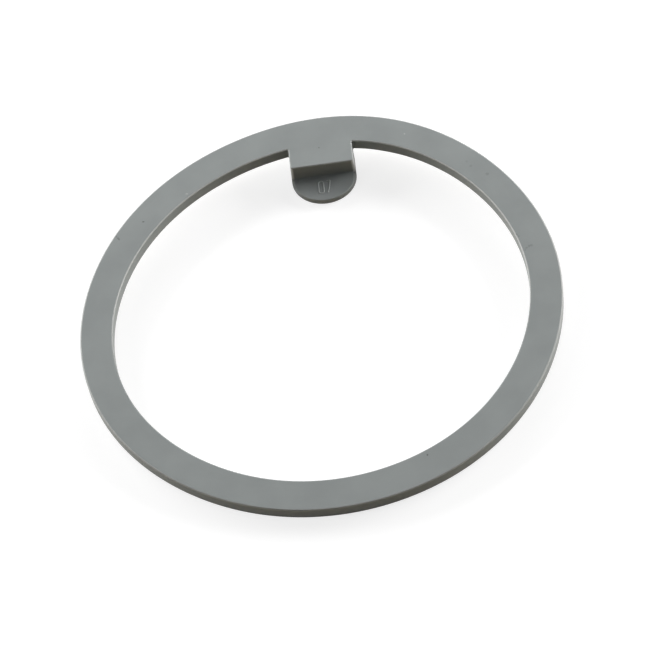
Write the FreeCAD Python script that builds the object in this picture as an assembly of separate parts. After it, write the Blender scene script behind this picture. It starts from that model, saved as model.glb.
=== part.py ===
"""Blender lid gasket: a flat ring of soft grey rubber, moulded in one piece with a lift tab.

The ring has a plain oblong section with its edges rounded. The tab stands on the inner
edge: a block whose top is flush with the ring and which reaches below the ring's underside,
with a thin half-round tongue at its foot. A fingertip goes on the tongue to pull the ring out
of the lid.

Millimetres, +Z up. The origin is on the ring's axis, level with the underside of the tab, and
the tab points inwards from +Y.
"""

import FreeCAD
import Part
import math
import os

# Driving sizes of the ring
OUTER_DIAMETER = 115.0
RING_WIDTH = 8.0  # from the inner wall to the outer wall
RING_THICKNESS = 3.5

# Driving sizes of the lift tab
TAB_WIDTH = 15.5
TAB_REACH = 6.5  # from the ring's inner wall to the step
TAB_DROP = 3.0  # how far the tab stands below the ring's underside
TONGUE_THICKNESS = 1.7

# Roundings of the mould
RIM_ROUND = 0.4  # outer edge of the ring's top
EDGE_ROUND = 0.25  # inner edge of the ring's top, and the tab's edges
BASE_CHAMFER = 0.25  # edges of the ring's underside, where the mould parts
CORNER_ROUND = 0.4  # upright hollow corners where the tab leaves the ring
COVE_RADIUS = 0.4  # hollow at the foot of the step
BACK_MARGIN = 0.6  # from the end of a hollow corner to the tab's back wall

outer_radius = OUTER_DIAMETER / 2
inner_radius = outer_radius - RING_WIDTH
tab_half = TAB_WIDTH / 2
ring_bottom = TAB_DROP
ring_top = ring_bottom + RING_THICKNESS
step_y = inner_radius - TAB_REACH
tip_y = step_y - tab_half
corner_y = math.sqrt(inner_radius**2 - tab_half**2)
back_y = corner_y - CORNER_ROUND - BACK_MARGIN
overlap_y = (inner_radius + outer_radius) / 2  # where the tab's block ends, inside the ring
TOLERANCE = 1e-4


def ring():
    """The ring with square edges, turned from its oblong section."""
    section = Part.makePolygon(
        [
            FreeCAD.Vector(inner_radius, 0, ring_bottom),
            FreeCAD.Vector(outer_radius, 0, ring_bottom),
            FreeCAD.Vector(outer_radius, 0, ring_top),
            FreeCAD.Vector(inner_radius, 0, ring_top),
            FreeCAD.Vector(inner_radius, 0, ring_bottom),
        ]
    )
    return Part.Face(section).revolve(FreeCAD.Vector(), FreeCAD.Vector(0, 0, 1), 360)


def tab():
    """The lift tab: its side profile across its width, trimmed to its outline seen from above."""
    return side_profile().common(plan_outline())


def side_profile():
    """Block, cove and tongue as one profile in the YZ plane, run across the tab's width."""

    def at(y, z):
        return FreeCAD.Vector(-tab_half, y, z)

    cove_middle = COVE_RADIUS * (1 - math.sqrt(0.5))
    cove = Part.Arc(
        at(step_y - COVE_RADIUS, TONGUE_THICKNESS),
        at(step_y - cove_middle, TONGUE_THICKNESS + cove_middle),
        at(step_y, TONGUE_THICKNESS + COVE_RADIUS),
    )
    before_cove = [at(back_y, 0), at(tip_y, 0), at(tip_y, TONGUE_THICKNESS)]
    before_cove.append(at(step_y - COVE_RADIUS, TONGUE_THICKNESS))
    after_cove = [at(step_y, TONGUE_THICKNESS + COVE_RADIUS), at(step_y, ring_top)]
    after_cove += [at(overlap_y, ring_top), at(overlap_y, ring_bottom)]
    after_cove += [at(back_y, ring_bottom), at(back_y, 0)]
    edges = straight_edges(before_cove) + [cove.toShape()] + straight_edges(after_cove)
    return Part.Face(Part.Wire(edges)).extrude(FreeCAD.Vector(TAB_WIDTH, 0, 0))


def plan_outline():
    """The tab's outline seen from above, straight sides and a half-round tip, run up to the top."""
    right = FreeCAD.Vector(tab_half, step_y, 0)
    left = FreeCAD.Vector(-tab_half, step_y, 0)
    tip = Part.Arc(left, FreeCAD.Vector(0, tip_y, 0), right)
    back_right = FreeCAD.Vector(tab_half, overlap_y, 0)
    back_left = FreeCAD.Vector(-tab_half, overlap_y, 0)
    sides = straight_edges([right, back_right, back_left, left])
    return Part.Face(Part.Wire([tip.toShape()] + sides)).extrude(FreeCAD.Vector(0, 0, ring_top))


def straight_edges(points):
    """Straight edges from each point to the next."""
    return [Part.LineSegment(a, b).toShape() for a, b in zip(points, points[1:])]


def level(edge, z):
    """True if the whole edge lies at height z."""
    box = edge.BoundBox
    return abs(box.ZMin - z) < TOLERANCE and abs(box.ZMax - z) < TOLERANCE


def reach_of(edge):
    """Largest distance of an edge from the ring's axis."""
    return max(math.hypot(point.x, point.y) for point in edge.discretize(9))


def rim_edges(shape, z):
    """The ring's outer edge at height z."""
    return [edge for edge in shape.Edges if level(edge, z) and abs(reach_of(edge) - outer_radius) < TOLERANCE]


def hollow_corners(shape):
    """The two upright edges where the tab's sides meet the ring's inner wall."""
    found = []
    for edge in shape.Edges:
        box = edge.BoundBox
        upright = box.XLength < TOLERANCE and box.YLength < TOLERANCE
        if upright and abs(box.YMin - corner_y) < TOLERANCE:
            found.append(edge)
    return found


def top_inner_edges(shape):
    """The loop of the top's inner edge: the ring's inner wall, the hollow corners and the tab."""
    return [edge for edge in shape.Edges if level(edge, ring_top) and reach_of(edge) < overlap_y]


def front_edges(shape):
    """The edge down each side of the step, through the cove and round the tongue."""
    found = []
    for edge in shape.Edges:
        box = edge.BoundBox
        ahead = box.YMax < step_y + TOLERANCE
        across = box.YLength < TOLERANCE and box.XLength > TOLERANCE
        above_base = box.ZMin > TONGUE_THICKNESS - TOLERANCE
        if ahead and above_base and not across and not level(edge, ring_top):
            found.append(edge)
    return found


def bottom_inner_edges(shape):
    """The underside's inner edge, from one side of the tab round to the other."""
    found = []
    for edge in shape.Edges:
        beside_tab = edge.BoundBox.YMax > back_y + TOLERANCE
        if level(edge, ring_bottom) and reach_of(edge) < overlap_y and beside_tab:
            found.append(edge)
    return found


def base_edges(shape):
    """The loop round the tab's underside."""
    return [edge for edge in shape.Edges if level(edge, 0)]


def gasket():
    """The whole moulding, with its edges rounded, and chamfered where the mould parts."""
    body = ring().fuse(tab()).removeSplitter()
    body = body.makeFillet(CORNER_ROUND, hollow_corners(body))
    body = body.makeFillet(RIM_ROUND, rim_edges(body, ring_top))
    body = body.makeFillet(EDGE_ROUND, top_inner_edges(body) + front_edges(body))
    body = body.makeFillet(EDGE_ROUND, base_edges(body))
    underside_edges = rim_edges(body, ring_bottom) + bottom_inner_edges(body)
    return body.makeChamfer(BASE_CHAMFER, underside_edges).Solids[0]


def main():
    """Builds the gasket and writes its STEP file."""
    os.makedirs("parts", exist_ok=True)
    body = gasket()
    body.exportStep("parts/gasket.step")
    return body


if __name__ == "__main__":
    main()
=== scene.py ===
"""Looks of a blender lid gasket, a flat ring of grey rubber with a stepped lift tab.

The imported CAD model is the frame. This script replaces its one node by a finer mesh: the same
moulding with its edges a little rounder, its tab slightly wider towards its foot, and the soft
ring eased out of round. It adds the raised mould number on the tab's tongue, and dresses both in
moulded rubber.
Metres, +Z up, the ring's axis on the origin and the tab pointing inwards from +Y.
"""

import logging
import math
from dataclasses import dataclass
from enum import Enum

import bmesh
import bpy
from mathutils import Matrix, Vector

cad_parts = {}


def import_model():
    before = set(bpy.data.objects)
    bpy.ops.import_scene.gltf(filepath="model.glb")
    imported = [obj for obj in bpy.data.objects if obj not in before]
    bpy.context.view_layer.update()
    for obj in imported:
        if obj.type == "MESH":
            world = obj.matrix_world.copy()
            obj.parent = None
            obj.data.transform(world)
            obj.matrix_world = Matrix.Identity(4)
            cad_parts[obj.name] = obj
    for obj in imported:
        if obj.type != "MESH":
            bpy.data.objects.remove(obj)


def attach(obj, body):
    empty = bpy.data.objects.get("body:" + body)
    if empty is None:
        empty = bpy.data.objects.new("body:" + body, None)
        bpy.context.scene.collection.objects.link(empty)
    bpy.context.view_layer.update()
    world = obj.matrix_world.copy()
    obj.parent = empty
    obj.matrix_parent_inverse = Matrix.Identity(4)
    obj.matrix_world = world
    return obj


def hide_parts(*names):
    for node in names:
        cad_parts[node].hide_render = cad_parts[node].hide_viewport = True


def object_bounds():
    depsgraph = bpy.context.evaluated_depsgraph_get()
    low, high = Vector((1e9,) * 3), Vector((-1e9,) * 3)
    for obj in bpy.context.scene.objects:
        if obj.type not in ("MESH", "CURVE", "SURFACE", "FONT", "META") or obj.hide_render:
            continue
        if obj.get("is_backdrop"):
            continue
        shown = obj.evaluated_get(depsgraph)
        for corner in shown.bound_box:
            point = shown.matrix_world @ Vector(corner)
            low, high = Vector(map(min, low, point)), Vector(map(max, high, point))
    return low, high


LOG = logging.getLogger("gasket")

MM = 0.001
BODY = "root"
CAD_NODE = "gasket"
PAINTED_HIGHLIGHT = "edge_painted_highlight"  # the point attribute that says how much each edge is painted lighter, as a painted highlight
SMOOTH_ANGLE = 40.0  # edges that bend more than this, in degrees, stay sharp

Point = tuple[float, float, float]
Flat = tuple[float, float]
Colour = tuple[float, float, float]


class Surface(Enum):
    """The surfaces that the object's pieces and its floor are made of."""

    RUBBER = "moulded_rubber"
    # paler rubber for the raised number: a painted highlight on its crest
    PAINTED_NUMBER_HIGHLIGHT = "painted_highlight_rubber"
    FLOOR = "pale_floor"


# Meshes from rows of points


class MeshRows:
    """Gathers faces from rows of points in millimetres and welds them into one mesh."""

    WELD = 1e-6  # metres
    SHORTEST = 1e-4  # millimetres

    def __init__(self) -> None:
        """Starts with no points and no faces."""
        self.points: list[Point] = []
        self.faces: list[list[int]] = []

    def add_face(self, corners: list[Point]) -> None:
        """Adds one face.

        Args:
            corners: its corners in order, in millimetres.
        """
        pairs = zip(corners, corners[1:] + corners[:1])
        kept = [corner for corner, after in pairs if math.dist(corner, after) > self.SHORTEST]
        if len(kept) < 3:
            return
        start = len(self.points)
        self.points.extend(kept)
        self.faces.append(list(range(start, start + len(kept))))

    def add_grid(self, rows: list[list[Point]], closed: bool = False) -> None:
        """Adds the faces between rows of points.

        Args:
            rows: rows with the same count of points, in millimetres.
            closed: whether each row's last point joins its first.
        """
        for row, after in zip(rows, rows[1:]):
            count = len(row)
            for i in range(count if closed else count - 1):
                j = (i + 1) % count
                self.add_face([row[i], row[j], after[j], after[i]])

    def write(self, mesh: bpy.types.Mesh) -> None:
        """Adds the faces to a mesh that may hold some already, and welds what meets.

        Args:
            mesh: the mesh to add to, in metres.
        """
        work = bmesh.new()
        work.from_mesh(mesh)
        corners = [work.verts.new(Vector(p) * MM) for p in self.points]
        for face in self.faces:
            work.faces.new([corners[i] for i in face])
        bmesh.ops.remove_doubles(work, verts=work.verts, dist=self.WELD)
        bmesh.ops.recalc_face_normals(work, faces=work.faces)
        open_edges = sum(1 for edge in work.edges if not edge.is_manifold)
        LOG.info("%s: %d faces, %d open edges", mesh.name, len(work.faces), open_edges)
        work.to_mesh(mesh)
        work.free()


def quarter(radius: float, steps: int) -> list[Flat]:
    """A quarter round as how far it stands in from a wall and how far it drops from a top.

    Args:
        radius: radius of the round.
        steps: number of chords.

    Returns:
        Pairs (in, down) from the top (radius, 0) to the wall (0, radius).
    """
    turns = [math.radians(90 * i / steps) for i in range(steps + 1)]
    return [(radius * (1 - math.sin(t)), radius * (1 - math.cos(t))) for t in turns]


# Geometry Nodes


class Tree:
    """A Geometry Nodes tree with named inputs, built node by node."""

    def __init__(self, name: str) -> None:
        """Makes an empty tree.

        Args:
            name: name of the node group.
        """
        self.group = bpy.data.node_groups.new(name, "GeometryNodeTree")
        self.group.interface.new_socket("Geometry", in_out="INPUT", socket_type="NodeSocketGeometry")
        self.group.interface.new_socket("Geometry", in_out="OUTPUT", socket_type="NodeSocketGeometry")
        self.start = self.group.nodes.new("NodeGroupInput")
        self.end = self.group.nodes.new("NodeGroupOutput")

    def number(self, name: str, kind: str = "NodeSocketFloat") -> bpy.types.NodeSocket:
        """Adds a named input.

        Args:
            name: what the input is called.
            kind: its socket type.

        Returns:
            The socket that gives the value inside the tree.
        """
        self.group.interface.new_socket(name, in_out="INPUT", socket_type=kind)
        return self.start.outputs[name]

    def node(self, kind: str, **settings: object) -> bpy.types.Node:
        """Adds a node.

        Args:
            kind: the node's type.
            **settings: its properties.

        Returns:
            The node.
        """
        made = self.group.nodes.new(kind)
        for name, value in settings.items():
            setattr(made, name, value)
        return made

    def link(self, source: bpy.types.NodeSocket, target: bpy.types.NodeSocket) -> None:
        """Joins two sockets."""
        self.group.links.new(source, target)

    def math(self, operation: str, first: object, second: object = None) -> bpy.types.NodeSocket:
        """Adds a math node.

        Args:
            operation: the node's operation.
            first: a socket or a number.
            second: a socket or a number, where the operation takes two.

        Returns:
            The result's socket.
        """
        made = self.node("ShaderNodeMath", operation=operation)
        for slot, value in enumerate((first, second)):
            if isinstance(value, bpy.types.NodeSocket):
                self.link(value, made.inputs[slot])
            elif value is not None:
                made.inputs[slot].default_value = value
        return made.outputs[0]

    def finish(self, geometry: bpy.types.NodeSocket) -> None:
        """Ends the tree in realised instances and the material input.

        Args:
            geometry: the socket that gives the finished geometry.
        """
        material = self.number("Material", "NodeSocketMaterial")
        real = self.node("GeometryNodeRealizeInstances")
        dress = self.node("GeometryNodeSetMaterial")
        self.link(geometry, real.inputs[0])
        self.link(real.outputs[0], dress.inputs["Geometry"])
        self.link(material, dress.inputs["Material"])
        self.link(dress.outputs[0], self.end.inputs[0])

    def apply(self, piece: bpy.types.Object, values: dict[str, object]) -> None:
        """Runs the tree on a piece and keeps the result as its plain mesh.

        Args:
            piece: the object whose geometry goes in.
            values: value of each named input.
        """
        modifier = piece.modifiers.new(self.group.name, "NODES")
        modifier.node_group = self.group
        items = self.group.interface.items_tree
        sockets = {item.name: item.identifier for item in items if item.in_out == "INPUT"}
        for name, value in values.items():
            modifier[sockets[name]] = value
        keep_result(piece)


def new_piece(name: str) -> bpy.types.Object:
    """A new empty mesh object in the scene, at the origin."""
    piece = bpy.data.objects.new(name, bpy.data.meshes.new(name))
    bpy.context.scene.collection.objects.link(piece)
    return piece


def smooth_by_angle(piece: bpy.types.Object, degrees: float) -> None:
    """Shades a piece smooth where it bends little, with its flat faces kept flat.

    Args:
        piece: the piece to shade.
        degrees: largest bend that is shaded smooth.
    """
    work = bmesh.new()
    work.from_mesh(piece.data)
    for face in work.faces:
        face.smooth = True
    for edge in work.edges:
        edge.smooth = edge.is_manifold and edge.calc_face_angle() < math.radians(degrees)
    work.to_mesh(piece.data)
    work.free()
    weights = piece.modifiers.new("flat_faces", "WEIGHTED_NORMAL")
    weights.keep_sharp = True
    keep_result(piece)


def keep_result(piece: bpy.types.Object) -> None:
    """Makes what a piece's modifiers give its plain mesh, and removes them.

    Args:
        piece: the piece with its modifiers.
    """
    bpy.context.view_layer.update()
    mesh = bpy.data.meshes.new_from_object(piece.evaluated_get(bpy.context.evaluated_depsgraph_get()))
    piece.modifiers.clear()
    piece.data = mesh
    mesh.name = piece.name


# The moulding


@dataclass(frozen=True)
class PaintedEdgeHighlight:
    """How much each edge is painted lighter, as a painted highlight, from 0 to 1.

    Along the ring's inner edge it rises smoothly towards the tab: slope is how fast, and middle is
    how far the rise has come level with the ring's axis. The painted highlight keeps a margin, in
    millimetres, from the flat faces beside an edge.
    """

    rim: float = 0.6
    tab: float = 0.4
    tongue: float = 0.25
    upright: float = 0.8
    slope: float = 2.0
    middle: float = 0.55
    margin: float = 0.01


@dataclass
class Moulding:
    """The ring and its lift tab, in one mesh. Sizes in millimetres."""

    outer_radius: float = 57.5
    inner_radius: float = 49.5
    ring_bottom: float = 3.0
    ring_top: float = 6.5
    tab_half: float = 8.0
    step_y: float = 42.8
    tip_reach: float = 7.55
    back_y: float = 47.889
    tongue: float = 1.7
    rim_round: float = 0.4
    edge_round: float = 0.34
    foot_round: float = 0.25
    upright_round: float = 0.8
    tongue_round: float = 0.3
    base_round: float = 0.25
    corner_round: float = 0.4
    cove: float = 0.4
    # how much painted highlight each rounded edge gets
    painted_highlight: PaintedEdgeHighlight = PaintedEdgeHighlight()
    around: int = 256
    root_segments: int = 8
    round_steps: int = 4
    rim_steps: int = 6
    tip_steps: int = 32
    eased_share: float = 1 / 3  # of the tongue's edge, where the step's round eases into its own

    def __post_init__(self) -> None:
        """Works out the hollow corner between tab and ring, and where the ring's sweep is cut."""
        self.corner_x = self.tab_half + self.corner_round
        self.corner_y = math.sqrt((self.inner_radius - self.corner_round) ** 2 - self.corner_x**2)
        self.cut = 2 * math.pi * self.root_segments / self.around

    def section(self) -> list[Flat]:
        """The ring's section with its rounded edges.

        Returns:
            Points (radius, height) in order round the section.
        """
        edge = quarter(self.edge_round, self.round_steps)
        rim = quarter(self.rim_round, self.rim_steps)
        base = quarter(self.base_round, self.round_steps)
        points = [(self.inner_radius + d, self.ring_top - drop) for d, drop in reversed(edge)]
        points += [(self.outer_radius - d, self.ring_top - drop) for d, drop in rim]
        points += [(self.outer_radius - d, self.ring_bottom + drop) for d, drop in reversed(base)]
        points += [(self.inner_radius + d, self.ring_bottom + drop) for d, drop in base]
        return points

    def sweep_tree(self) -> Tree:
        """The tree that runs the section round the ring and leaves the tab's root open.

        Returns:
            The tree. Its input geometry is the section, as a closed outline in the XY plane whose
            X is the distance out from the inner wall and whose Y is the depth below the frame's z = 0.
        """
        tree = Tree("ring_sweep")
        radius = tree.number("Inner radius")
        cut = tree.number("Half angle of the tab's root")
        inner_part = tree.number("Reach of the tab's root")
        path = tree.node("GeometryNodeCurvePrimitiveCircle")
        tree.link(tree.number("Segments", "NodeSocketInt"), path.inputs["Resolution"])
        tree.link(radius, path.inputs["Radius"])
        upright = tree.node("GeometryNodeSetCurveNormal", mode="Z_UP")
        tree.link(path.outputs[0], upright.inputs[0])
        outline = tree.node("GeometryNodeMeshToCurve")
        tree.link(tree.start.outputs["Geometry"], outline.inputs[0])
        sweep = tree.node("GeometryNodeCurveToMesh")
        tree.link(upright.outputs[0], sweep.inputs["Curve"])
        tree.link(outline.outputs[0], sweep.inputs["Profile Curve"])
        where = tree.node("ShaderNodeSeparateXYZ")
        tree.link(tree.node("GeometryNodeInputPosition").outputs[0], where.inputs[0])
        across, along = where.outputs["X"], where.outputs["Y"]
        off_axis = tree.math("ABSOLUTE", tree.math("ARCTAN2", across, along))
        squares = [tree.math("MULTIPLY", part, part) for part in (across, along)]
        reach = tree.math("SQRT", tree.math("ADD", *squares))
        beside = tree.math("LESS_THAN", off_axis, cut)
        within = tree.math("LESS_THAN", reach, inner_part)
        at_root = tree.math("MULTIPLY", beside, within)
        opened = tree.node("GeometryNodeDeleteGeometry", domain="FACE")
        tree.link(sweep.outputs[0], opened.inputs["Geometry"])
        tree.link(at_root, opened.inputs["Selection"])
        tree.finish(opened.outputs[0])
        return tree

    def ring_angles(self) -> list[float]:
        """Angles of the ring's segments across the tab's root, from right to left, in radians."""
        step = 2 * math.pi / self.around
        return [math.pi / 2 + step * i for i in range(-self.root_segments, self.root_segments + 1)]

    def on_circle(self, radius: float, angle: float, z: float) -> Point:
        """A point on a circle round the ring's axis."""
        return (radius * math.cos(angle), radius * math.sin(angle), z)

    def corner_row(self, inset: float, z: float) -> list[Point]:
        """Points from the ring's cut, along its inner wall and round the right hollow corner.

        Args:
            inset: distance into the rubber.
            z: height of the row.

        Returns:
            The points of the row.
        """
        tangent = math.atan2(self.corner_y, self.corner_x)
        points = [self.on_circle(self.inner_radius + inset, math.pi / 2 - self.cut, z)]
        steps = 2 * self.round_steps
        for i in range(steps + 1):
            turn = tangent + (math.pi - tangent) * i / steps
            reach = self.corner_round + inset
            x, y = self.corner_x + reach * math.cos(turn), self.corner_y + reach * math.sin(turn)
            points.append((x, y, z))
        return points

    def outline_x(self, y: float) -> float:
        """Half width of the tab seen from above at a given y."""
        ahead = max(self.step_y - y, 0.0) / self.tip_reach
        return self.tab_half * math.sqrt(max(1 - ahead**2, 0.0))

    def outward(self, x: float, y: float) -> Vector:
        """The level direction out of the tab's side, or out of the tongue's outline, at a point."""
        ahead = min(y - self.step_y, 0.0)
        return Vector((x / self.tab_half**2, ahead / self.tip_reach**2, 0)).normalized()

    def front_arcs(self) -> list[list[Point]]:
        """Arcs across the rounded edge from the step's top down to the tongue's tip, right side.

        Returns:
            One arc for each place along the edge, each from the side wall to the front or top.
        """
        drop = [(self.step_y, self.ring_top - self.edge_round, 0.0, self.upright_round)]
        steps = 2 * self.round_steps
        for i in range(steps + 1):
            turn = math.radians(90 * i / steps)
            y = self.step_y - self.cove * (1 - math.cos(turn))
            drop.append((y, self.tongue + self.cove * (1 - math.sin(turn)), turn, self.upright_round))
        first = math.asin(self.cove / self.tip_reach)
        for i in range(1, self.tip_steps + 1):
            turn = first + (math.pi / 2 - first) * i / self.tip_steps
            share = ease(i / (self.tip_steps * self.eased_share))
            radius = self.upright_round + (self.tongue_round - self.upright_round) * share
            drop.append((self.step_y - self.tip_reach * math.sin(turn), self.tongue, math.pi / 2, radius))
        return [self.front_arc(y, z, turn, radius) for y, z, turn, radius in drop]

    def front_arc(self, y: float, z: float, turn: float, radius: float) -> list[Point]:
        """One arc across the rounded edge.

        Args:
            y: where the sharp edge would be.
            z: its height.
            turn: how far the front has turned from upright (0) to level (half pi).
            radius: radius of the round there.

        Returns:
            Points from the side wall to the front or top.
        """
        x = self.outline_x(y)
        side = self.outward(x, y)
        front = Vector((0, -math.cos(turn), math.sin(turn)))
        centre = Vector((x, y, z)) - radius * (side + front)
        points = []
        for i in range(self.round_steps + 1):
            angle = math.radians(90 * i / self.round_steps)
            points.append(tuple(centre + radius * (math.cos(angle) * side + math.sin(angle) * front)))
        return points

    def base_row(self, side_points: list[Point], inset: float, z: float) -> list[Point]:
        """One row round the tab's base, from its back right corner to its back left corner.

        Args:
            side_points: where the side wall's columns stand, from the step to the tongue's tip.
            inset: distance in from the side wall.
            z: height of the row.

        Returns:
            The points of the row.
        """
        right = [(self.tab_half - inset, self.back_y - inset, z)]
        for x, y, _ in side_points:
            side = self.outward(x, y) * inset
            right.append((x - side.x, y - side.y, z))
        return right + mirrored(right)

    def add_tab(self, rows: MeshRows) -> None:
        """Adds the tab and the part of the ring's top and underside at its root.

        Args:
            rows: the mesh to add to.
        """
        top_edge = quarter(self.edge_round, self.round_steps)
        under_edge = quarter(self.base_round, self.round_steps)
        arcs = self.front_arcs()
        self.add_top(rows, top_edge)
        self.add_front(rows, arcs)
        self.add_sides(rows, arcs)
        self.add_root(rows, under_edge)

    def add_top(self, rows: MeshRows, edge: list[Flat]) -> None:
        """Adds the flat top at the tab's root and the rounded edge round it.

        Args:
            rows: the mesh to add to.
            edge: the round of the edge.
        """
        pivot_x, pivot_y = self.tab_half - self.upright_round, self.step_y + self.upright_round
        loops = []
        for inset, drop in edge:
            z = self.ring_top - drop
            half = self.corner_row(inset, z)
            for i in range(self.round_steps + 1):
                turn = math.radians(90 * i / self.round_steps)
                reach = self.upright_round - inset
                half.append((pivot_x + reach * math.cos(turn), pivot_y - reach * math.sin(turn), z))
            loops.append(half + mirrored(half))
        rows.add_grid(loops)
        flat_end = self.outer_radius - self.rim_round
        outer = [self.on_circle(flat_end, a, self.ring_top) for a in self.ring_angles()]
        rows.add_face(outer + list(reversed(loops[0])))

    def add_front(self, rows: MeshRows, arcs: list[list[Point]]) -> None:
        """Adds the step's face, the cove, the tongue's top and the rounded edge along them.

        Args:
            rows: the mesh to add to.
            arcs: the arcs across the rounded edge.
        """
        left = [[(-x, y, z) for x, y, z in arc] for arc in arcs]
        rows.add_grid(arcs)
        rows.add_grid(left)
        cove_end = 2 * self.round_steps + 2
        across = [[arc[-1], other[-1]] for arc, other in zip(arcs[:cove_end], left[:cove_end])]
        rows.add_grid(across)
        tip = [arc[-1] for arc in arcs[cove_end - 1 :]]
        rows.add_face(tip + mirrored(tip)[1:])

    def add_sides(self, rows: MeshRows, arcs: list[list[Point]]) -> None:
        """Adds the tab's side walls, its rounded base and its underside.

        Args:
            rows: the mesh to add to.
            arcs: the arcs across the front's rounded edge.
        """
        columns = [arc[0] for arc in arcs[1:]]
        feet = [(x, y, self.foot_round) for x, y, _ in columns]
        for sign in (1, -1):
            upper = [(sign * x, y, z) for x, y, z in columns]
            lower = [(sign * x, y, z) for x, y, z in feet]
            rows.add_grid([upper, lower])
            wall = [arcs[0][0], arcs[1][0], feet[0]]
            wall.append((self.tab_half, self.back_y, self.foot_round))
            wall.append((self.tab_half, self.back_y, self.ring_bottom + self.base_round))
            wall.append((self.tab_half, self.corner_y, self.ring_bottom + self.base_round))
            wall.append((self.tab_half, self.corner_y, self.ring_top - self.edge_round))
            rows.add_face([(sign * x, y, z) for x, y, z in wall])
        foot_edge = quarter(self.foot_round, self.round_steps)
        base = [self.base_row(feet, inset, drop) for inset, drop in foot_edge]
        rows.add_grid(base, closed=True)
        rows.add_face(base[0])

    def add_root(self, rows: MeshRows, edge: list[Flat]) -> None:
        """Adds the hollow corners' walls, the ring's underside at the root and the tab's back.

        Args:
            rows: the mesh to add to.
            edge: the round of the underside's inner edge.
        """
        wall_top = self.corner_row(0, self.ring_top - self.edge_round)
        wall_foot = self.corner_row(0, self.ring_bottom + self.base_round)
        below = []
        for inset, drop in edge:
            z = self.ring_bottom + drop
            below.append(self.corner_row(inset, z) + [(self.tab_half - inset, self.back_y, z)])
        for side in (1, -1):
            rows.add_grid([[(side * x, y, z) for x, y, z in row] for row in (wall_top, wall_foot)])
            rows.add_grid([[(side * x, y, z) for x, y, z in row] for row in below])
        flat_end = self.outer_radius - self.base_round
        outer = [self.on_circle(flat_end, a, self.ring_bottom) for a in self.ring_angles()]
        inner = below[0] + mirrored(below[0])
        rows.add_face(outer + list(reversed(inner)))
        right = [(self.tab_half, self.back_y, self.foot_round)] + [row[-1] for row in reversed(below)]
        rows.add_face(right + mirrored(right))

    def make_ring(self, material: bpy.types.Material) -> bpy.types.Object:
        """Sweeps the ring's section with Geometry Nodes.

        Args:
            material: the material that the tree sets.

        Returns:
            The piece, open at the tab's root.
        """
        piece = new_piece("gasket_body")
        outline = [((r - self.inner_radius) * MM, -z * MM, 0) for r, z in self.section()]
        edges = [(i, (i + 1) % len(outline)) for i in range(len(outline))]
        piece.data.from_pydata(outline, edges, [])
        values = {
            "Inner radius": self.inner_radius * MM,
            "Half angle of the tab's root": self.cut,
            "Reach of the tab's root": (self.outer_radius - self.rim_round) * MM,
            "Segments": self.around,
            "Material": material,
        }
        self.sweep_tree().apply(piece, values)
        return piece

    def build(self, material: bpy.types.Material) -> bpy.types.Object:
        """Makes the whole moulding.

        Args:
            material: its material.

        Returns:
            The finished piece.
        """
        piece = self.make_ring(material)
        rows = MeshRows()
        self.add_tab(rows)
        rows.write(piece.data)
        # Painted highlight: each point's share of the pale edge colour, most on the rounded edges.
        painted_highlight = piece.data.attributes.new(PAINTED_HIGHLIGHT, "FLOAT", "POINT")
        for vertex in piece.data.vertices:
            painted_highlight.data[vertex.index].value = self.painted_highlight_at(*(vertex.co / MM))
        return piece

    def painted_highlight_at(self, x: float, y: float, z: float) -> float:
        """How much painted highlight a point gets, from 0 to 1.

        Args:
            x: place of the point, as moulded.
            y: place of the point.
            z: height of the point.

        Returns:
            The painted highlight: most on the top's inner edge on the tab's half of the ring, less
                elsewhere.
        """
        painted_highlight, near = self.painted_highlight, self.painted_highlight.margin
        outer = math.hypot(x, y) > (self.inner_radius + self.outer_radius) / 2
        below_top = self.ring_top - z
        if near < below_top < (self.rim_round if outer else self.edge_round) - near:
            if outer:
                return painted_highlight.rim
            beside_tab = abs(x) < self.corner_x and y > 0
            return painted_highlight.tab if beside_tab else ease(painted_highlight.slope * y / self.inner_radius + painted_highlight.middle)
        below_tongue = self.tongue - z
        if y < self.step_y - self.cove and near < below_tongue < self.tongue_round - near:
            return painted_highlight.tongue
        beside = self.tab_half - self.upright_round + near < abs(x) < self.tab_half - near
        ahead = 0 < y < self.step_y + self.upright_round - near
        upright = beside and ahead and self.tongue < z < self.ring_top - near
        return painted_highlight.upright if upright else 0.0


def mirrored(points: list[Point]) -> list[Point]:
    """The points on the other side of the YZ plane, in the opposite order."""
    return [(-x, y, z) for x, y, z in reversed(points)]


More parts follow.
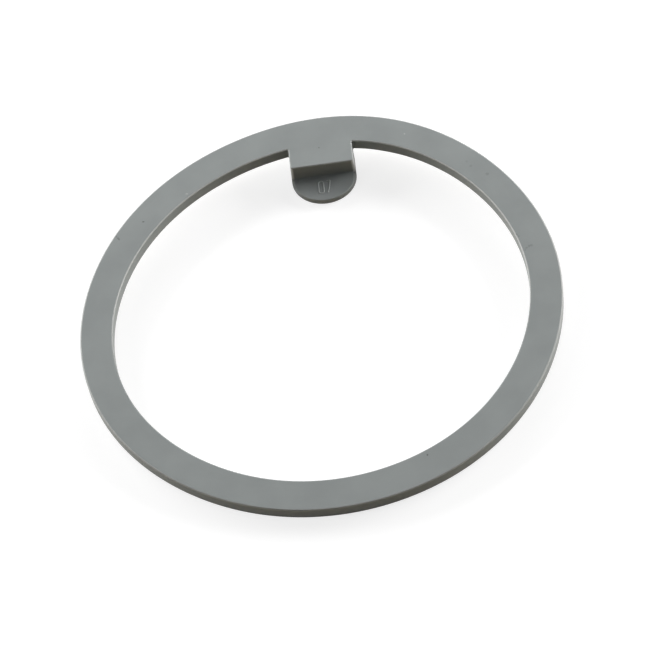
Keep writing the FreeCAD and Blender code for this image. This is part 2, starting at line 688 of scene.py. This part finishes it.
@dataclass
class RelaxedShape:
    """How the soft ring lies a little out of round, bent in its own plane. Sizes in millimetres.

    Its centreline keeps its length, its section stays square to the centreline, and the tab moves
    with its root, whose hold fades over the length fade. Its draft is how much each side widens for
    each millimetre of depth. Each wave is (count round the ring, cosine part, sine part) of the
    centreline's distance from the axis, from +X towards +Y.
    """

    inner_radius: float = Moulding.inner_radius
    ring_top: float = Moulding.ring_top
    tab_half: float = Moulding.tab_half
    centreline: float = (Moulding.inner_radius + Moulding.outer_radius) / 2
    root_half: float = Moulding.tab_half + Moulding.corner_round
    fade: float = 8.0
    draft: float = 0.03
    waves: tuple[tuple[int, float, float], ...] = (
        (2, 1.312, 1.105),
        (3, -0.307, -0.334),
        (4, 0.109, -0.030),
        (5, 0.084, -0.018),
        (6, -0.013, 0.080),
    )

    def bend(self, turn: float) -> tuple[Vector, float]:
        """Where the centreline's point at an angle goes.

        Args:
            turn: the point's angle as moulded, in radians.

        Returns:
            Its new place, and the angle of its section's outward direction.
        """
        grow = slide = slope = 0.0
        for n, c, s in self.waves:
            cosine, sine = math.cos(n * turn), math.sin(n * turn)
            grow += c * cosine + s * sine
            slide += (s * cosine - c * sine) / n
            slope += n * (s * cosine - c * sine)
        outward = Vector((math.cos(turn), math.sin(turn)))
        onward = Vector((-outward.y, outward.x))
        place = (self.centreline + grow) * outward + slide * onward
        return place, turn + (slide - slope) / self.centreline

    def in_ring(self, x: float, y: float) -> Vector:
        """New place of a point that belongs to the ring."""
        place, out = self.bend(math.atan2(y, x))
        return place + (math.hypot(x, y) - self.centreline) * Vector((math.cos(out), math.sin(out)))

    def in_tab(self, x: float, y: float, z: float) -> Vector:
        """New place of a point that belongs to the tab, which turns as one with its root."""
        place, out = self.bend(math.pi / 2)
        outward = Vector((math.cos(out), math.sin(out)))
        across = x * (1 + self.draft * (self.ring_top - z) / self.tab_half)
        return place + (y - self.centreline) * outward + across * Vector((outward.y, -outward.x))

    def apply(self, piece: bpy.types.Object) -> None:
        """Moves a piece's points, each in its own plane.

        Args:
            piece: the piece to ease out of round.
        """
        for vertex in piece.data.vertices:
            x, y, z = vertex.co / MM
            depth = math.hypot(x, y) - self.inner_radius
            inside = 1 - ease(depth / (self.centreline - self.inner_radius))
            beside = 1 - ease((abs(x) - self.root_half) / self.fade)
            share = inside * beside if y > 0 else 0.0
            place = self.in_ring(x, y).lerp(self.in_tab(x, y, z), share)
            vertex.co = (place.x * MM, place.y * MM, vertex.co.z)


def ease(value: float) -> float:
    """A smooth step from 0 to 1."""
    held = min(max(value, 0.0), 1.0)
    return held * held * (3 - 2 * held)


@dataclass
class MouldNumber:
    """The raised two-digit number on the tongue. Sizes in millimetres."""

    zero_x: float = -0.97
    seven_x: float = 0.87
    foot_y: float = 37.45
    height: float = 3.6
    zero_width: float = 1.25
    seven_width: float = 1.05
    seven_foot: float = 0.3
    stroke: float = 0.15
    surface_z: float = Moulding.tongue
    bend: float = 0.1
    arc_steps: int = 12
    bend_steps: int = 4
    bead_sides: int = 12

    def zero(self) -> list[Flat]:
        """The outline of the nought, as a closed row of points."""
        radius = self.zero_width / 2
        top, foot = self.foot_y + self.height - radius, self.foot_y + radius
        points = []
        for centre, start in ((top, 0.0), (foot, math.pi)):
            for i in range(self.arc_steps + 1):
                turn = start + math.pi * i / self.arc_steps
                points.append((self.zero_x + radius * math.cos(turn), centre + radius * math.sin(turn)))
        return points

    def seven(self) -> list[Flat]:
        """The stroke of the seven, as an open row of points."""
        left, right = self.seven_x - self.seven_width / 2, self.seven_x + self.seven_width / 2
        top = self.foot_y + self.height
        return [(left, top), (right, top), (left + self.seven_foot, self.foot_y)]

    def stroke_tree(self) -> Tree:
        """The tree that runs a round bead along the strokes.

        Returns:
            The tree. Its input geometry is the strokes, as edges.
        """
        tree = Tree("raised_stroke")
        strokes = tree.node("GeometryNodeMeshToCurve")
        tree.link(tree.start.outputs["Geometry"], strokes.inputs[0])
        bend = tree.node("GeometryNodeFilletCurve", mode="POLY")
        tree.link(strokes.outputs[0], bend.inputs["Curve"])
        tree.link(tree.number("Bend radius"), bend.inputs["Radius"])
        bend.inputs["Count"].default_value = self.bend_steps
        bead = tree.node("GeometryNodeCurvePrimitiveCircle")
        bead.inputs["Resolution"].default_value = self.bead_sides
        tree.link(tree.number("Stroke radius"), bead.inputs["Radius"])
        sweep = tree.node("GeometryNodeCurveToMesh")
        sweep.inputs["Fill Caps"].default_value = True
        tree.link(bend.outputs[0], sweep.inputs["Curve"])
        tree.link(bead.outputs[0], sweep.inputs["Profile Curve"])
        tree.finish(sweep.outputs[0])
        return tree

    def build(self, material: bpy.types.Material) -> bpy.types.Object:
        """Makes the number.

        Args:
            material: its material.

        Returns:
            The finished piece.
        """
        piece = new_piece("mould_number")
        zero, seven = self.zero(), self.seven()
        edges = [(i, (i + 1) % len(zero)) for i in range(len(zero))]
        edges += [(len(zero) + i, len(zero) + i + 1) for i in range(len(seven) - 1)]
        points = [(x * MM, y * MM, self.surface_z * MM) for x, y in zero + seven]
        piece.data.from_pydata(points, edges, [])
        sizes = {"Bend radius": self.bend * MM, "Stroke radius": self.stroke * MM}
        self.stroke_tree().apply(piece, sizes | {"Material": material})
        MeshRows().write(piece.data)
        return piece


# Materials


class Shader:
    """Builds the nodes of a material or of a shader node group."""

    def __init__(self, tree: bpy.types.NodeTree) -> None:
        """Starts on a node tree.

        Args:
            tree: the tree to build in.
        """
        self.tree = tree

    def node(self, kind: str, **settings: object) -> bpy.types.Node:
        """Adds a node.

        Args:
            kind: the node's type.
            **settings: its properties.

        Returns:
            The node.
        """
        made = self.tree.nodes.new(kind)
        for name, value in settings.items():
            setattr(made, name, value)
        return made

    def link(self, source: bpy.types.NodeSocket, target: bpy.types.NodeSocket) -> None:
        """Joins two sockets."""
        self.tree.links.new(source, target)

    def group(self, group: bpy.types.NodeTree, **values: object) -> bpy.types.Node:
        """Places a node group.

        Args:
            group: the group to place.
            **values: the values of its inputs, with _ for each space.

        Returns:
            The group's node.
        """
        made = self.node("ShaderNodeGroup", node_tree=group)
        for name, value in values.items():
            made.inputs[name.replace("_", " ")].default_value = value
        return made

    def mix(self, share: bpy.types.NodeSocket, first: object, second: object) -> bpy.types.NodeSocket:
        """Mixes two colours.

        Args:
            share: the share of the second colour.
            first: a colour or a socket.
            second: a colour or a socket.

        Returns:
            The mixed colour's socket.
        """
        made = self.node("ShaderNodeMix", data_type="RGBA")
        self.link(share, made.inputs["Factor"])
        for name, value in (("A", first), ("B", second)):
            target = next(i for i in made.inputs if i.name == name and i.type == "RGBA")
            if isinstance(value, bpy.types.NodeSocket):
                self.link(value, target)
            else:
                target.default_value = (*value, 1.0)
        return next(o for o in made.outputs if o.type == "RGBA")

    def ramp(self, value: bpy.types.NodeSocket, low: Flat, high: Flat) -> bpy.types.NodeSocket:
        """Maps a range of values onto another, held at its ends.

        Args:
            value: the socket to map.
            low: the input and the output at the lower end.
            high: the input and the output at the upper end.

        Returns:
            The mapped value's socket.
        """
        made = self.node("ShaderNodeMapRange")
        self.link(value, made.inputs["Value"])
        made.inputs["From Min"].default_value, made.inputs["To Min"].default_value = low
        made.inputs["From Max"].default_value, made.inputs["To Max"].default_value = high
        return made.outputs["Result"]


def group_shader(
    name: str, inputs: dict[str, str], outputs: dict[str, str]
) -> tuple[Shader, bpy.types.Node, bpy.types.Node]:
    """Makes an empty shader node group.

    Args:
        name: the group's name.
        inputs: name and socket type of each input.
        outputs: name and socket type of each output.

    Returns:
        The builder, and the nodes that hold the group's inputs and outputs.
    """
    tree = bpy.data.node_groups.new(name, "ShaderNodeTree")
    for direction, sockets in (("INPUT", inputs), ("OUTPUT", outputs)):
        for label, kind in sockets.items():
            tree.interface.new_socket(label, in_out=direction, socket_type=kind)
    shader = Shader(tree)
    return shader, shader.node("NodeGroupInput"), shader.node("NodeGroupOutput")


def grain_group() -> bpy.types.NodeTree:
    """The group for the fine grain that a mould leaves, as a height and a mottled mask."""
    numbers = {"Grain size": "NodeSocketFloat", "Cloud size": "NodeSocketFloat"}
    results = {"Height": "NodeSocketFloat", "Mask": "NodeSocketFloat"}
    shader, start, end = group_shader("mould_grain", numbers, results)
    place = shader.node("ShaderNodeTexCoord")
    for name, result, detail in (("Grain size", "Height", 3.0), ("Cloud size", "Mask", 4.0)):
        scale = shader.node("ShaderNodeMath", operation="DIVIDE")
        scale.inputs[0].default_value = 1.0
        shader.link(start.outputs[name], scale.inputs[1])
        noise = shader.node("ShaderNodeTexNoise")
        noise.inputs["Detail"].default_value = detail
        shader.link(place.outputs["Object"], noise.inputs["Vector"])
        shader.link(scale.outputs[0], noise.inputs["Scale"])
        shader.link(noise.outputs["Fac"], end.inputs[result])
    return shader.tree


SPOT_WOBBLE = 2500.0  # scale of the noise that makes a mark's outline uneven


def spot_group() -> bpy.types.NodeTree:
    """The group for one small mark, as a mask that is 1 at its centre and fades at its edge."""
    numbers = {"Centre": "NodeSocketVector", "Radius": "NodeSocketFloat"}
    shader, start, end = group_shader("small_mark", numbers, {"Mask": "NodeSocketFloat"})
    place = shader.node("ShaderNodeTexCoord")
    wobble = shader.node("ShaderNodeTexNoise")
    wobble.inputs["Scale"].default_value = SPOT_WOBBLE
    shader.link(place.outputs["Object"], wobble.inputs["Vector"])
    gap = shader.node("ShaderNodeVectorMath", operation="DISTANCE")
    shader.link(place.outputs["Object"], gap.inputs[0])
    shader.link(start.outputs["Centre"], gap.inputs[1])
    share = shader.node("ShaderNodeMath", operation="DIVIDE")
    shader.link(gap.outputs["Value"], share.inputs[0])
    shader.link(start.outputs["Radius"], share.inputs[1])
    rough = shader.node("ShaderNodeMath", operation="ADD")
    shader.link(share.outputs[0], rough.inputs[0])
    shader.link(shader.ramp(wobble.outputs["Fac"], (0.3, -0.35), (0.7, 0.35)), rough.inputs[1])
    shader.link(shader.ramp(rough.outputs[0], (0.5, 1.0), (1.0, 0.0)), end.inputs["Mask"])
    return shader.tree


@dataclass(frozen=True)
class Mark:
    """One small mark on the ring's top: its place and radius in millimetres, and its colour."""

    x: float
    y: float
    radius: float
    colour: Colour
    strength: float = 1.0


DARK = (0.06, 0.065, 0.065)
LIGHT = (0.45, 0.46, 0.46)
# Paler greys for the raised number: a painted highlight that stands in for the light on its crest.
PAINTED_NUMBER_HIGHLIGHT_DEEP = (0.40, 0.42, 0.415)
PAINTED_NUMBER_HIGHLIGHT_PALE = (0.44, 0.46, 0.455)


@dataclass(frozen=True)
class Rubber:
    """Satin mid-grey rubber, faintly mottled, with small marks and a painted highlight along its edges.
    """

    surface: Surface = Surface.RUBBER
    deep: Colour = (0.262, 0.280, 0.277)
    pale: Colour = (0.284, 0.303, 0.299)
    # the pale colour of the painted highlight on the rounded edges
    painted_highlight_colour: Colour = (0.58, 0.59, 0.58)
    specular: float = 0.15
    grain_size: float = 0.0004
    cloud_size: float = 0.009
    rough_low: float = 0.44
    rough_high: float = 0.52
    grain_depth: float = 0.00001
    marks: tuple[Mark, ...] = (
        Mark(-43.76, 29.07, 0.3, DARK, 0.7),
        Mark(-32.74, 36.43, 0.3, LIGHT, 0.6),
        Mark(22.41, 49.3, 0.25, LIGHT, 0.6),
        Mark(23.77, -43.47, 0.25, DARK, 0.7),
        Mark(42.43, 35.01, 0.45, DARK, 0.22),
        Mark(38.49, 37.83, 0.5, DARK, 0.15),
        Mark(37.52, 39.27, 0.45, DARK, 0.12),
        Mark(0.8, 47.22, 0.2, DARK, 0.6),
        Mark(51.93, 12.8, 0.4, DARK, 0.22),
        Mark(51.3, 12.65, 0.4, DARK, 0.25),
        Mark(50.7, 12.25, 0.35, DARK, 0.22),
        Mark(50.3, 11.6, 0.3, DARK, 0.2),
        Mark(48.59, 16.32, 0.3, DARK, 0.25),
        Mark(49.0, 15.84, 0.3, DARK, 0.25),
        Mark(-50.4, 25.3, 0.25, DARK, 0.35),
        Mark(-50.1, 24.85, 0.25, DARK, 0.35),
        Mark(-49.84, 24.42, 0.3, DARK, 0.45),
    )

    def build(self) -> bpy.types.Material:
        """Makes the material.

        Returns:
            The material.
        """
        material = bpy.data.materials.new(self.surface.value)
        material.use_nodes = True
        shader = Shader(material.node_tree)
        principled = material.node_tree.nodes["Principled BSDF"]
        grain = shader.group(grain_group(), Grain_size=self.grain_size, Cloud_size=self.cloud_size)
        clouds = shader.ramp(grain.outputs["Mask"], (0.35, 0.0), (0.65, 1.0))
        colour = shader.mix(clouds, self.deep, self.pale)
        spot = spot_group()
        for mark in self.marks:
            centre = (mark.x * MM, mark.y * MM, Moulding.ring_top * MM)
            placed = shader.group(spot, Centre=centre, Radius=mark.radius * MM)
            share = shader.ramp(placed.outputs["Mask"], (0.0, 0.0), (1.0, mark.strength))
            colour = shader.mix(share, colour, mark.colour)
        # Painted highlight: the rounded edges are mixed towards a pale colour by the point attribute.
        painted_highlight = shader.node("ShaderNodeAttribute", attribute_name=PAINTED_HIGHLIGHT)
        colour = shader.mix(painted_highlight.outputs["Fac"], colour, self.painted_highlight_colour)
        shader.link(colour, principled.inputs["Base Color"])
        rough = shader.ramp(grain.outputs["Mask"], (0.3, self.rough_low), (0.7, self.rough_high))
        shader.link(rough, principled.inputs["Roughness"])
        principled.inputs["Specular IOR Level"].default_value = self.specular
        bump = shader.node("ShaderNodeBump")
        bump.inputs["Distance"].default_value = self.grain_depth
        bump.inputs["Strength"].default_value = 1.0
        shader.link(grain.outputs["Height"], bump.inputs["Height"])
        shader.link(bump.outputs["Normal"], principled.inputs["Normal"])
        return material


@dataclass(frozen=True)
class PaleFloor:
    """A plain pale table: its colour where light bounces off it, and how it is seen.

    Seen by the camera or in a reflection, it is lifted towards full white and keeps its shadows.
    """

    pale: Colour = (0.70, 0.60, 0.44)
    seen: Colour = (0.35, 0.35, 0.35)
    lift: float = 0.78

    def build(self) -> bpy.types.Material:
        """Makes the material.

        Returns:
            The material.
        """
        material = bpy.data.materials.new(Surface.FLOOR.value)
        material.use_nodes = True
        shader = Shader(material.node_tree)
        nodes = material.node_tree.nodes
        nodes.remove(nodes["Principled BSDF"])
        output = nodes["Material Output"]
        seen = seen_rays(shader)
        plain = shader.node("ShaderNodeBsdfDiffuse")
        shader.link(shader.mix(seen, self.pale, self.seen), plain.inputs["Color"])
        lift = shader.node("ShaderNodeEmission")
        shader.link(shader.ramp(seen, (0.0, 0.0), (1.0, self.lift)), lift.inputs["Strength"])
        lifted = shader.node("ShaderNodeAddShader")
        shader.link(plain.outputs[0], lifted.inputs[0])
        shader.link(lift.outputs[0], lifted.inputs[1])
        shader.link(lifted.outputs[0], output.inputs["Surface"])
        return material


def seen_rays(shader: Shader) -> bpy.types.NodeSocket:
    """A value that is 1 for the camera's rays and for those that reflections and glass follow.

    Args:
        shader: the builder of the tree that needs it.

    Returns:
        The value's socket.
    """
    path = shader.node("ShaderNodeLightPath")
    value = path.outputs["Is Camera Ray"]
    for name in ("Is Glossy Ray", "Is Transmission Ray"):
        either = shader.node("ShaderNodeMath", operation="MAXIMUM")
        shader.link(value, either.inputs[0])
        shader.link(path.outputs[name], either.inputs[1])
        value = either.outputs[0]
    return value


# The studio


@dataclass
class Table:
    """The floor, tilted so that the gasket rests on its tongue and on the rim opposite the tab.

    The size is in metres, the places where the gasket touches the floor are in millimetres.
    """

    size: float = 4.0
    tip_y: float = 34.3
    front_y: float = -55.9
    ring_bottom: float = Moulding.ring_bottom

    def build(self) -> bpy.types.Object:
        """Makes the floor.

        Returns:
            The floor's object.
        """
        slope = self.ring_bottom / (self.tip_y - self.front_y)
        half = self.size / 2
        corners = [(-half, -half), (half, -half), (half, half), (-half, half)]
        floor = new_piece("floor")
        points = [(x, y, slope * (self.tip_y * MM - y)) for x, y in corners]
        floor.data.from_pydata(points, [], [(0, 1, 2, 3)])
        floor.data.materials.append(PaleFloor().build())
        floor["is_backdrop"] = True
        return floor


@dataclass(frozen=True)
class Softbox:
    """One square lamp that faces the object: direction in degrees, distance and size in metres."""

    name: str
    azimuth: float
    elevation: float
    distance: float
    width: float
    height: float
    watts: float

    def build(self) -> bpy.types.Object:
        """Makes the lamp.

        Returns:
            The lamp's object.
        """
        lamp = bpy.data.lights.new(self.name, "AREA")
        lamp.shape = "RECTANGLE"
        lamp.size = self.width
        lamp.size_y = self.height
        lamp.energy = self.watts
        turn, rise = math.radians(self.azimuth), math.radians(self.elevation)
        away = Vector((math.cos(turn) * math.cos(rise), math.sin(turn) * math.cos(rise), math.sin(rise)))
        obj = bpy.data.objects.new(self.name, lamp)
        obj.location = away * self.distance
        obj.rotation_euler = away.to_track_quat("Z", "Y").to_euler()
        bpy.context.scene.collection.objects.link(obj)
        return obj


@dataclass
class Studio:
    """The lamps and the surroundings."""

    lamps: tuple[Softbox, ...] = (
        Softbox("back_left_light", 140, 17.5, 1.0, 0.8, 0.3, 13.1),
        Softbox("back_light", 84, 17.5, 1.0, 0.5, 0.3, 3.1),
        Softbox("back_right_light", 28, 17.5, 1.0, 0.6, 0.3, 11.5),
        Softbox("left_light", 185, 38, 1.0, 0.5, 0.4, 1.2),
        Softbox("top_light", 90, 78, 1.0, 0.5, 0.5, 0.6),
    )
    fill: float = 0.022

    def build(self) -> None:
        """Makes the lamps and the world."""
        for lamp in self.lamps:
            lamp.build()
        world = bpy.data.worlds.new("studio")
        world.use_nodes = True
        bpy.context.scene.world = world
        shader = Shader(world.node_tree)
        background = world.node_tree.nodes["Background"]
        strength = shader.ramp(seen_rays(shader), (0.0, self.fill), (1.0, 1.0))
        background.inputs["Color"].default_value = (1, 1, 1, 1)
        shader.link(strength, background.inputs["Strength"])


@dataclass
class PhotoCamera:
    """The photograph's viewpoint. Angles in degrees, lengths in millimetres, focus in pixels."""

    azimuth: float = 7.54
    elevation: float = 57.62
    roll: float = -10.91
    distance: float = 728.35
    across: float = -0.91
    up: float = 4.50
    base_z: float = Moulding.ring_top
    focal_pixels: float = 3000.0
    frame_pixels: float = 650.0
    sensor: float = 36.0
    nearest: float = 10.0

    def build(self) -> bpy.types.Object:
        """Makes the camera and sets it as the scene's.

        Returns:
            The camera's object.
        """
        a, e, roll = (math.radians(v) for v in (self.azimuth, self.elevation, self.roll))
        ahead = Vector((-math.sin(a) * math.cos(e), math.cos(a) * math.cos(e), -math.sin(e)))
        level = Vector((math.cos(a), math.sin(a), 0))
        upright = level.cross(ahead)
        right = math.cos(roll) * level + math.sin(roll) * upright
        top = -math.sin(roll) * level + math.cos(roll) * upright
        place = -self.across * right - self.up * top - self.distance * ahead
        place.z += self.base_z
        data = bpy.data.cameras.new("photo_camera")
        data.sensor_width = self.sensor
        data.lens = self.sensor * self.focal_pixels / self.frame_pixels
        data.clip_start = self.nearest * MM
        camera = bpy.data.objects.new("photo_camera", data)
        turn = Matrix((right, top, -ahead)).transposed().to_4x4()
        camera.matrix_world = Matrix.Translation(place * MM) @ turn
        bpy.context.scene.collection.objects.link(camera)
        bpy.context.scene.camera = camera
        return camera


# The run


class Bounds:
    """The CAD box, taken before the visual model is built."""

    def __init__(self) -> None:
        """Takes the CAD box."""
        self.cad = [list(corner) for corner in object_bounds()]

    def write(self) -> None:
        """Updates the view layer; nothing is written."""
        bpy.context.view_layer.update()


def main() -> None:
    """Builds the pieces in order and reports each one."""
    logging.basicConfig(level=logging.INFO, format="%(name)s: %(message)s")
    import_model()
    bounds = Bounds()
    rubber = Rubber().build()
    shape = RelaxedShape()
    body = Moulding().build(rubber)
    shape.apply(body)
    # The raised number gets paler rubber: a painted highlight on its crest.
    painted_highlight_finish = Rubber(Surface.PAINTED_NUMBER_HIGHLIGHT, PAINTED_NUMBER_HIGHLIGHT_DEEP, PAINTED_NUMBER_HIGHLIGHT_PALE, marks=())
    number = MouldNumber().build(painted_highlight_finish.build())
    shape.apply(number)
    for piece in (body, number):
        smooth_by_angle(piece, SMOOTH_ANGLE)
        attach(piece, BODY)
        LOG.info("%s: %d faces", piece.name, len(piece.data.polygons))
    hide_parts(CAD_NODE)
    Table().build()
    Studio().build()
    PhotoCamera().build()
    bpy.context.scene.view_settings.view_transform = "Standard"
    LOG.info("table, lamps and camera are in place")
    bounds.write()


if __name__ == "__main__":
    main()
